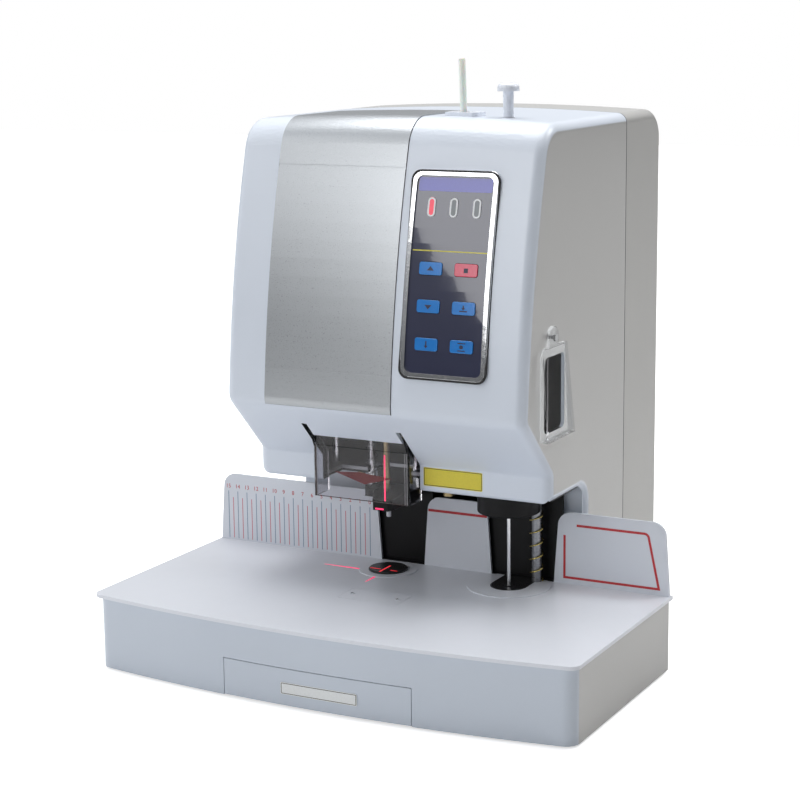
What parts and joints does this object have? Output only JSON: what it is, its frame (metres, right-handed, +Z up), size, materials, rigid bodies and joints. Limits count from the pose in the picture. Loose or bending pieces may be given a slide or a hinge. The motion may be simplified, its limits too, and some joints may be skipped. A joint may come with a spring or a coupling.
{
  "type": "document riveting machine",
  "caption": "Desk machine that drills a stack of papers under a laser line and closes a heated plastic rivet through it, with a fence, clear guard, key panel and scrap drawer",
  "frame": {"origin": "on the desk, at the middle of the footprint of the whole machine", "axes": "+X operator's right, +Y to the back of the machine, +Z up; the operator stands at -Y"},
  "size_m": [0.446, 0.4041, 0.512],
  "materials": {
    "shell_blue": "satin",
    "shell_side": "satin",
    "base_paint": "satin",
    "table_paint": "satin",
    "board_paint": "satin",
    "insert_silver": "brushed",
    "black_metal": "satin",
    "steel": "turned",
    "chrome": "polished",
    "spring_steel": "plated",
    "panel_film": "gloss",
    "key_blue": "gloss",
    "key_red": "gloss",
    "lamp_clear": "clear",
    "smoke_clear": "gloss",
    "white_plastic": "gloss",
    "tube_plastic": "satin",
    "black_plastic": "satin",
    "pad_plastic": "satin",
    "rubber_black": "matte",
    "circuit_green": "satin",
    "motor_can": "satin",
    "brass_part": "turned"
  },
  "bodies": {
    "machine": {"base_shell": "base_paint", "chassis_plate": "steel", "circuit_board": "circuit_green", "die_cover_ring": "table_paint", "drill_lift_motor": "motor_can", "drill_shafts": "chrome", "fence_left": "board_paint", "fence_middle": "board_paint", "fence_right": "board_paint", "front_insert": "insert_silver", "front_shell": "shell_blue", "head_floor": "black_metal", "indicator_lamps": "lamp_clear", "line_lasers": "brass_part", "lower_die": "black_metal", "lower_heater": "steel", "main_frame": "steel", "mains_inlet": "black_plastic", "panel_bezel": "chrome", "panel_plate": "panel_film", "pivot_screws": "steel", "press_lift_motor": "motor_can", "press_post": "chrome", "press_spring": "spring_steel", "rear_shell": "shell_side", "rubber_feet": "rubber_black", "table_hatch": "table_paint", "table_plate": "table_paint", "throat_covers": "black_metal", "tube_cutter": "steel", "tube_inlet": "white_plastic", "tube_outlet": "chrome"},
    "drawer": {"chip_drawer": "base_paint"},
    "pad": {"drill_pad": "pad_plastic"},
    "drill_unit": {"drill_carriage": "steel", "spindle_bearings": "steel", "drill_motor": "motor_can", "drive_belt": "rubber_black", "foot_spring": "chrome"},
    "drill_lead_screw": {"drill_screw": "steel"},
    "spindle": {"drill_spindle": "steel", "hollow_drill": "brass_part"},
    "motor_shaft": {"motor_pulley": "steel"},
    "pressure_foot": {"drill_foot": "black_metal"},
    "press": {"press_block": "black_metal", "press_ram": "steel"},
    "press_lead_screw": {"press_screw": "steel"},
    "needle": {"guide_needle": "steel", "needle_knob": "white_plastic"},
    "guard": {"drill_guard": "smoke_clear"},
    "side_lid": {"side_cover": "smoke_clear"},
    "tube": {"rivet_tube": "tube_plastic"},
    "blade": {"cutter_blade": "steel"},
    "rocker": {"rocker_switch": "black_plastic"},
    "key_up_body": {"key_up": "key_blue"},
    "key_down_body": {"key_down": "key_blue"},
    "key_drill_body": {"key_drill": "key_blue"},
    "key_stop_body": {"key_stop": "key_red"},
    "key_press_body": {"key_press": "key_blue"},
    "key_rivet_body": {"key_rivet": "key_blue"}
  },
  "joints": [
    {"name": "drawer_slide", "type": "slide", "parent": "machine", "child": "drawer", "axis": [0, -1, 0], "range_m": [0, 0.18]},
    {"name": "pad_lift", "type": "slide", "parent": "machine", "child": "pad", "axis": [0, 0, 1], "range_m": [0, 0.03]},
    {"name": "drill_slide", "type": "slide", "parent": "machine", "child": "drill_unit", "axis": [0, 0, 1], "range_m": [-0.058, 0]},
    {"name": "drill_screw_turn", "type": "hinge", "parent": "machine", "child": "drill_lead_screw", "pos_m": [0.005, 0.008, 0.25], "axis": [0, 0, 1], "range_deg": [0, 5221]},
    {"name": "spindle_spin", "type": "hinge", "parent": "drill_unit", "child": "spindle", "pos_m": [-0.03, -0.012, 0.25], "axis": [0, 0, 1], "continuous": true},
    {"name": "motor_spin", "type": "hinge", "parent": "drill_unit", "child": "motor_shaft", "pos_m": [-0.03, 0.046, 0.32], "axis": [0, 0, 1], "continuous": true},
    {"name": "foot_slide", "type": "slide", "parent": "drill_unit", "child": "pressure_foot", "axis": [0, 0, 1], "range_m": [0, 0.04], "stiffness_N_per_m": 300, "springref_m": -0.012, "deforming": ["foot_spring"]},
    {"name": "press_slide", "type": "slide", "parent": "machine", "child": "press", "axis": [0, 0, 1], "range_m": [-0.058, 0], "deforming": ["press_spring"]},
    {"name": "press_screw_turn", "type": "hinge", "parent": "machine", "child": "press_lead_screw", "pos_m": [0.087, 0.052, 0.25], "axis": [0, 0, 1], "range_deg": [0, 5221]},
    {"name": "needle_lift", "type": "slide", "parent": "machine", "child": "needle", "axis": [0, 0, 1], "range_m": [0, 0.06]},
    {"name": "guard_swing", "type": "hinge", "parent": "machine", "child": "guard", "pos_m": [-0.02775, -0.068, 0.204], "axis": [1, 0, 0], "range_deg": [-90, 0]},
    {"name": "side_lid_swing", "type": "hinge", "parent": "machine", "child": "side_lid", "pos_m": [0.142, -0.046, 0.2915], "axis": [1, 0, 0], "range_deg": [-90, 90]},
    {"name": "tube_lift", "type": "slide", "parent": "machine", "child": "tube", "axis": [-0.0349, 0, 0.9994], "range_m": [0, 0.08]},
    {"name": "blade_slide", "type": "slide", "parent": "machine", "child": "blade", "axis": [-1, 0, 0], "range_m": [0, 0.022]},
    {"name": "switch_rock", "type": "hinge", "parent": "machine", "child": "rocker", "pos_m": [-0.046, 0.196, 0.036], "axis": [1, 0, 0], "range_deg": [-16, 0]},
    {"name": "key_up_press", "type": "slide", "parent": "machine", "child": "key_up_body", "axis": [0, 0.9833, -0.182], "range_m": [0, 0.0007], "stiffness_N_per_m": 500},
    {"name": "key_down_press", "type": "slide", "parent": "machine", "child": "key_down_body", "axis": [0, 0.988, -0.1548], "range_m": [0, 0.0007], "stiffness_N_per_m": 500},
    {"name": "key_drill_press", "type": "slide", "parent": "machine", "child": "key_drill_body", "axis": [0, 0.9919, -0.1272], "range_m": [0, 0.0007], "stiffness_N_per_m": 500},
    {"name": "key_stop_press", "type": "slide", "parent": "machine", "child": "key_stop_body", "axis": [0, 0.9833, -0.182], "range_m": [0, 0.0007], "stiffness_N_per_m": 500},
    {"name": "key_press_press", "type": "slide", "parent": "machine", "child": "key_press_body", "axis": [0, 0.988, -0.1548], "range_m": [0, 0.0007], "stiffness_N_per_m": 500},
    {"name": "key_rivet_press", "type": "slide", "parent": "machine", "child": "key_rivet_body", "axis": [0, 0.9919, -0.1272], "range_m": [0, 0.0007], "stiffness_N_per_m": 500}
  ],
  "couplings": [
    {"joint": "drill_screw_turn", "follows": "drill_slide", "rad_per_m": -1570.8},
    {"joint": "press_screw_turn", "follows": "press_slide", "rad_per_m": -1570.8},
    {"joint": "motor_spin", "follows": "spindle_spin", "ratio": 1.718}
  ]
}
